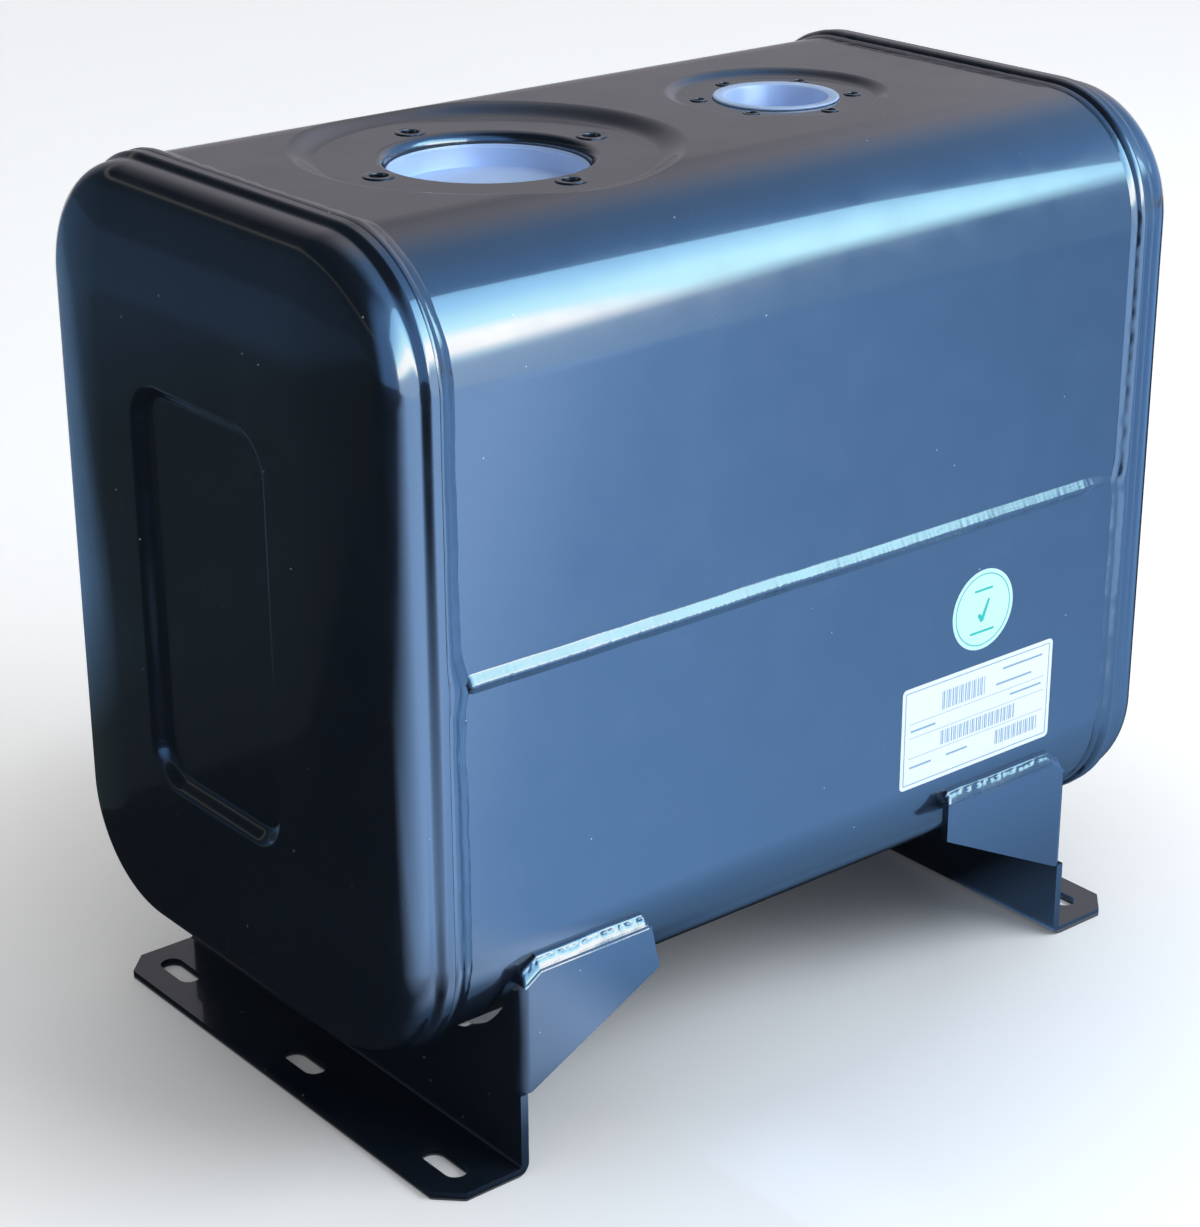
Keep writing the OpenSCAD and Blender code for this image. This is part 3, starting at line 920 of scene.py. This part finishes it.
class TANK_OT_shell(bpy.types.Operator):
    """Wrap the shell and press its port recesses"""

    bl_idname = "tank.shell"
    bl_label = "Shell"

    def execute(self, context):
        looks = context.scene.tank_looks
        material = paint_material("gloss enamel", looks.paint, looks.peel)
        piece = new_piece("shell_skin", shell_skin(), material, ["shell"])
        even_shading(piece)
        return {"FINISHED"}


class TANK_OT_end_caps(bpy.types.Operator):
    """Press the two end caps"""

    bl_idname = "tank.end_caps"
    bl_label = "End caps"

    def execute(self, context):
        material = bpy.data.materials["gloss enamel"]
        for name, side in (("left", -1), ("right", 1)):
            piece = new_piece(name + "_cap_skin", cap_skin(side), material, [name + "_end_cap"])
            wall = piece.modifiers.new("sheet", "SOLIDIFY")
            wall.thickness = SHEET
            wall.offset = -1
            even_shading(piece)
        return {"FINISHED"}


class TANK_OT_welds(bpy.types.Operator):
    """Lay the seam, the end welds and the ear welds"""

    bl_idname = "tank.welds"
    bl_label = "Welds"

    def execute(self, context):
        looks = context.scene.tank_looks
        material = paint_material("painted weld", looks.paint, looks.peel, rough_bump=0.15)
        bm = seam_mesh(looks.seam_width, looks.seam_height, SEAM_RIPPLE * looks.ripple)
        new_piece("seam_bead", bm, material, ["seam_weld"])
        for name, side in (("left", -1), ("right", 1)):
            bm = end_weld_mesh(side, looks.ripple)
            new_piece(name + "_end_bead", bm, material, [name + "_end_weld"])
            for place, side_y in (("front", -1), ("rear", 1)):
                bm = ear_weld_mesh(side, side_y, looks.ripple, EAR_SHORT[name][0])
                node = f"{name}_{place}_ear_weld"
                new_piece(f"{name}_{place}_ear_bead", bm, material, [node])
        return {"FINISHED"}


class TANK_OT_feet(bpy.types.Operator):
    """Soften the edges of the bent feet"""

    bl_idname = "tank.feet"
    bl_label = "Feet"

    def execute(self, context):
        looks = context.scene.tank_looks
        material = bpy.data.materials["gloss enamel"]
        for name, side in (("left", -1), ("right", 1)):
            bm = softened_copy([name + "_foot"], looks.edge, 2, ear_trims(name, side))
            piece = new_piece(name + "_foot_plate", bm, material, [name + "_foot"])
            even_shading(piece)
        return {"FINISHED"}


class TANK_OT_ports(bpy.types.Operator):
    """Fit the plugs and the threaded inserts"""

    bl_idname = "tank.ports"
    bl_label = "Ports"

    def execute(self, context):
        looks = context.scene.tank_looks
        # The plugs' blue is painted light over their milky white
        plastic = plastic_material("milky plastic", looks.plastic)
        for port, (sunk, shape) in PLUGS.items():
            x, _, depth, _, bore = PORTS[port]
            bm = turned(plug_outline(bore - PLUG_GAP, **shape), x, DECK_Z - depth - sunk)
            new_piece(port + "_plug_cup", bm, plastic, [port + "_port_plug"])
        dark = paint_material("painted insert", looks.paint, looks.peel)
        for port, (_, count, _, _) in BOLTS.items():
            nodes = [f"{port}_port_insert_{i + 1}" for i in range(count)]
            new_piece(port + "_inserts", softened_copy(nodes, INSERT_EDGE, 3), dark, nodes)
        return {"FINISHED"}


class TANK_OT_stickers(bpy.types.Operator):
    """Stick the two plain labels on the front"""

    bl_idname = "tank.stickers"
    bl_label = "Stickers"

    def execute(self, context):
        looks = context.scene.tank_looks
        for name, bm, color, rough in (
            ("sticker_film", sticker_film(), looks.film, 0.4),
            ("sticker_print", sticker_print(), looks.ink, 0.5),
            ("round_sticker_film", disc_film(), looks.mint, 0.35),
            ("round_sticker_print", disc_print(), looks.green, 0.5),
        ):
            new_piece(name, bm, print_material(name.replace("_", " "), color, rough))
        return {"FINISHED"}


class TANK_OT_stage(bpy.types.Operator):
    """Set up the floor, the light and the camera"""

    bl_idname = "tank.stage"
    bl_label = "Stage"

    def execute(self, context):
        scene = context.scene
        scene.view_settings.view_transform = "Standard"
        make_floor()
        make_light()
        make_camera(scene)
        return {"FINISHED"}


def stage_piece(name, bm, material):
    """Turns a mesh under construction into a piece of the stage."""
    mesh = bpy.data.meshes.new(name)
    bm.to_mesh(mesh)
    bm.free()
    mesh.materials.append(material)
    made = bpy.data.objects.new(name, mesh)
    bpy.context.scene.collection.objects.link(made)
    return made


WHITE = (1, 1, 1, 1)
BLACK = (0, 0, 0, 1)
DARK = (0.008, 0.01, 0.012, 1)

# Floor: half its side, glow for the camera, and distances from the tank's middle between which the glow sets
# in; nearer in, the missing glow is a painted shade round the tank
FLOOR_HALF = 6.0
FLOOR_GLOW = 0.34
PAINTED_SHADE_RUN = (0.16, 0.42)


def make_floor():
    """Wide pale floor, darker round the tank by a painted shade where its glow for the camera is held back.
    """
    bm = bmesh.new()
    bmesh.ops.create_grid(bm, x_segments=1, y_segments=1, size=FLOOR_HALF)
    kit = Nodes(bpy.data.materials.new("pale floor"))
    place = kit.place()
    tone = kit.mix(kit.noise(place, 3.0, 3.0), (0.84, 0.84, 0.85, 1), (0.88, 0.88, 0.88, 1))
    seen = kit.add("ShaderNodeLightPath").outputs["Is Camera Ray"]
    away = kit.add("ShaderNodeVectorMath", {"operation": "LENGTH"}, Vector=place).outputs["Value"]
    # Painted shade: the glow fades to nothing towards the tank, so the floor round and under it looks shaded
    glow = kit.math("MULTIPLY", kit.ramp(away, *PAINTED_SHADE_RUN), FLOOR_GLOW)
    kit.feed(Base_Color=tone, Roughness=0.9)
    kit.feed(Emission_Color=WHITE, Emission_Strength=kit.math("MULTIPLY", seen, glow))
    stage_piece("floor", bm, kit.owner)


def card(name, corners, shade):
    """Card that only reflections see; shade lays out its colour from its own coordinates."""
    bm = bmesh.new()
    bm.faces.new([bm.verts.new(spot) for spot in corners])
    kit = Nodes(bpy.data.materials.new(name))
    split = kit.add("ShaderNodeSeparateXYZ", Vector=kit.place()).outputs
    kit.feed(Base_Color=BLACK, Emission_Color=shade(kit, split), Emission_Strength=1.0)
    kit.feed(Roughness=1.0, Specular_IOR_Level=0.0)
    made = stage_piece(name, bm, kit.owner)
    made.visible_camera = False
    made.visible_diffuse = False
    made.visible_shadow = False
    made.visible_transmission = False


def floor_corners(low_x, high_x, low_y, high_y, lift):
    """Corners of a card just above the floor."""
    spots = ((low_x, low_y), (high_x, low_y), (high_x, high_y), (low_x, high_y))
    return [(x, y, lift) for x, y in spots]


# Colours of the cards: by slant, along the front; beside the near ear; and under the tank
SKY = (
    (-0.46, (1.8, 3.15, 5.5, 1)), (-0.34, (0.9, 1.92, 3.85, 1)),
    (-0.12, (0.68, 1.5, 3.0, 1)), (0.22, (0.45, 1.0, 2.1, 1)),
)
SLANT = 0.95
EAR_PATCH = ((-0.35, BLACK), (-0.29, WHITE), (-0.2, WHITE), (-0.16, BLACK))
EAR_SKY = (1.6, 2.5, 4.1, 1)
NEAR_SKY = (0.28, 0.6, 1.15, 1)
UNDER_SKY = (0.12, 0.24, 0.45, 1)


def sky_shade(kit, split):
    """Blue light along the front that fades to the right, to the left end and under the tank."""
    x, y = split[0], split[1]
    tone = kit.bands(kit.math("MULTIPLY_ADD", y, SLANT, x), SKY)
    tone = kit.mix(kit.ramp(y, -0.28, -0.165), tone, NEAR_SKY)
    share = kit.math("MULTIPLY", kit.ramp(x, -0.03, -0.07), kit.bands(y, EAR_PATCH))
    tone = kit.mix(share, tone, EAR_SKY)
    edge = kit.math("MULTIPLY", kit.ramp(x, -0.75, -0.12), kit.ramp(y, -0.2, -0.34))
    lit = kit.math("MAXIMUM", edge, kit.ramp(x, -0.26, -0.06))
    front = kit.mix(lit, DARK, tone)
    under = kit.mix(kit.ramp(y, -0.1, -0.06), UNDER_SKY, DARK)
    under = kit.mix(kit.ramp(x, -0.1, 0.02), DARK, under)
    return kit.mix(kit.ramp(y, -0.165, -0.11), front, under)


# Colours of the window: low along X, high by height, at the right, and the glow's heights
LOW_WINDOW = ((0.78, (2.4, 3.7, 5.7, 1)), (1.01, (0.82, 1.68, 3.2, 1)), (1.19, (0.56, 1.2, 2.4, 1)))
HIGH_WINDOW = ((1.25, (5.8, 10.0, 11.5, 1)), (1.7, (3.4, 6.8, 10.4, 1)), (2.2, (2.3, 5.2, 8.6, 1)))
RIGHT_WINDOW = (3.6, 6.9, 9.6, 1)
GLOW_HEIGHTS = ((0.55, BLACK), (0.72, WHITE), (1.0, WHITE), (1.2, BLACK))
GLOW = (12.0, 12.0, 12.0, 1)


def window_shade(kit, split):
    """Light blue with a white glow in its lower left, over a paler band at the horizon."""
    x, z = split[0], split[2]
    low = kit.bands(x, LOW_WINDOW)
    high = kit.mix(kit.ramp(x, 1.1, 1.4), kit.bands(z, HIGH_WINDOW), RIGHT_WINDOW)
    share = kit.math("MULTIPLY", kit.bands(z, GLOW_HEIGHTS), kit.ramp(x, 0.98, 0.88))
    high = kit.mix(share, high, GLOW)
    sill = kit.ramp(x, 0.78, 1.05, 0.68, 0.96)
    above = kit.math("SUBTRACT", z, sill)
    return kit.mix(kit.ramp(above, -0.2, 0.03), low, high)


# Colours of the room beside the left end, from front to back, and of a patch behind it
ROOM = (
    (-0.2, DARK), (0.15, (0.02, 0.027, 0.026, 1)), (0.5, (0.031, 0.043, 0.046, 1)),
    (0.85, (0.031, 0.043, 0.046, 1)), (1.4, (0.07, 0.13, 0.23, 1)),
)
ROOM_PATCH = (0.12, 0.23, 0.4, 1)


def dark_shade(kit, split):
    """Dim room beside the left end, with a little blue far behind."""
    x, y = split[0], split[1]
    share = kit.math("MULTIPLY", kit.ramp(x, -0.5, -0.36), kit.ramp(y, 0.42, 0.65))
    return kit.mix(share, kit.bands(y, ROOM), ROOM_PATCH)


# What the paint mirrors all round: from front to back, and by height where no light falls
AROUND = (
    (-0.3, (0.48, 1.1, 2.4, 1)), (-0.09, (0.42, 0.86, 1.7, 1)), (0.12, (0.39, 0.72, 1.33, 1)),
    (0.32, (0.54, 0.68, 1.0, 1)), (0.49, (0.55, 0.55, 0.64, 1)), (0.69, (0.29, 0.28, 0.31, 1)),
)
UNLIT = (
    (0.0, (0.045, 0.08, 0.13, 1)), (0.36, (0.022, 0.036, 0.055, 1)), (0.4, (0.3, 0.3, 0.27, 1)),
    (0.42, (0.3, 0.3, 0.27, 1)), (0.46, (0.012, 0.018, 0.026, 1)),
)
AMBIENT = (0.5, 0.5, 0.5, 1)
BACKDROP = (0.94, 0.94, 0.94, 1)


def make_world():
    """Pale surroundings: bluish in front and grey behind for the paint to mirror, darker at the left."""
    world = bpy.data.worlds.new("studio")
    bpy.context.scene.world = world
    kit = Nodes(world, "Background")
    path = kit.add("ShaderNodeLightPath").outputs
    way = kit.add("ShaderNodeTexCoord").outputs["Generated"]
    x, y, z = kit.add("ShaderNodeSeparateXYZ", Vector=way).outputs
    lit = kit.math("MAXIMUM", kit.ramp(x, -0.1, 0.38), kit.ramp(y, -0.3, -0.6))
    mirrored = kit.mix(lit, kit.bands(z, UNLIT), kit.bands(y, AROUND))
    ambient = kit.mix(path["Is Glossy Ray"], AMBIENT, mirrored)
    kit.feed(Color=kit.mix(path["Is Camera Ray"], ambient, BACKDROP))


# Soft box: sides, power, colour, and its way and distance from the tank's middle
SOFT_BOX = (2.4, 1.9)
SOFT_BOX_POWER = 76
SOFT_BOX_COLOR = (0.9, 0.96, 1.0)
SOFT_BOX_WAY = Vector((0.5, -0.66, 0.62)).normalized()
SOFT_BOX_AWAY = 3.2

# Cards on the floor: low and high X, low and high Y, and height
SKY_CARD = (-0.9, 3.0, -3.0, 0.3, 2 * MM)
DARK_CARD = (-6.0, -0.1, -6.0, 6.0, 1 * MM)
# Window card: way and distance from the tank's middle, and outline by distance along it and height
WINDOW_WAY = Vector((0.7413, -0.6712, 0))
WINDOW_AWAY = 1.6
WINDOW = ((-3.4, 0.01), (0.26, 0.01), (0.26, 1.6), (-0.02, 2.11), (-0.9, 2.4), (-3.4, 2.8))


def make_light():
    """One large soft box, even ambient light, and cards for the paint to mirror."""
    make_world()
    data = bpy.data.lights.new("soft box", "AREA")
    data.shape = "RECTANGLE"
    data.size, data.size_y = SOFT_BOX
    data.energy = SOFT_BOX_POWER
    data.color = SOFT_BOX_COLOR
    lamp = bpy.data.objects.new("soft box", data)
    bpy.context.scene.collection.objects.link(lamp)
    lamp.location = Vector((0, 0, MID_Z)) + SOFT_BOX_WAY * SOFT_BOX_AWAY
    lamp.rotation_euler = SOFT_BOX_WAY.to_track_quat("Z", "Y").to_euler()
    lamp.visible_glossy = False
    card("sky card", floor_corners(*SKY_CARD), sky_shade)
    card("dark card", floor_corners(*DARK_CARD), dark_shade)
    along = Vector((-WINDOW_WAY.y, WINDOW_WAY.x, 0))
    corners = [WINDOW_WAY * WINDOW_AWAY + along * u + Vector((0, 0, z)) for u, z in WINDOW]
    card("window card", corners, window_shade)


CAMERA_AT = (-0.81057, -0.97715, 0.70192)
CAMERA_TURN = (1.17849, 0.00347, -0.68378)
CAMERA_LENS = 84.215
SENSOR = 36


def make_camera(scene):
    """Camera at the photograph's viewing angle."""
    data = bpy.data.cameras.new("camera")
    data.sensor_fit = "VERTICAL"
    data.sensor_height = SENSOR
    data.lens = CAMERA_LENS
    made = bpy.data.objects.new("camera", data)
    scene.collection.objects.link(made)
    made.location = CAMERA_AT
    made.rotation_euler = CAMERA_TURN
    scene.camera = made


class TANK_PT_looks(bpy.types.Panel):
    """Sidebar panel with the steps in order"""

    bl_label = "Steel oil tank"
    bl_idname = "TANK_PT_looks"
    bl_space_type = "VIEW_3D"
    bl_region_type = "UI"
    bl_category = "Tank"

    def draw(self, context):
        looks = context.scene.tank_looks
        for name in looks.__annotations__:
            self.layout.prop(looks, name)
        for step in STEPS:
            self.layout.operator(step.bl_idname)


STEPS = (
    TANK_OT_shell, TANK_OT_end_caps, TANK_OT_welds, TANK_OT_feet, TANK_OT_ports,
    TANK_OT_stickers, TANK_OT_stage,
)
CLASSES = (TankLooks, *STEPS, TANK_PT_looks)


def register():
    for item in CLASSES:
        bpy.utils.register_class(item)
    bpy.types.Scene.tank_looks = bpy.props.PointerProperty(type=TankLooks)


def unregister():
    del bpy.types.Scene.tank_looks
    for item in reversed(CLASSES):
        bpy.utils.unregister_class(item)


def main():
    register()
    bpy.ops.tank.shell()
    bpy.ops.tank.end_caps()
    bpy.ops.tank.welds()
    bpy.ops.tank.feet()
    bpy.ops.tank.ports()
    bpy.ops.tank.stickers()
    bpy.ops.tank.stage()


if __name__ == "__main__":
    main()
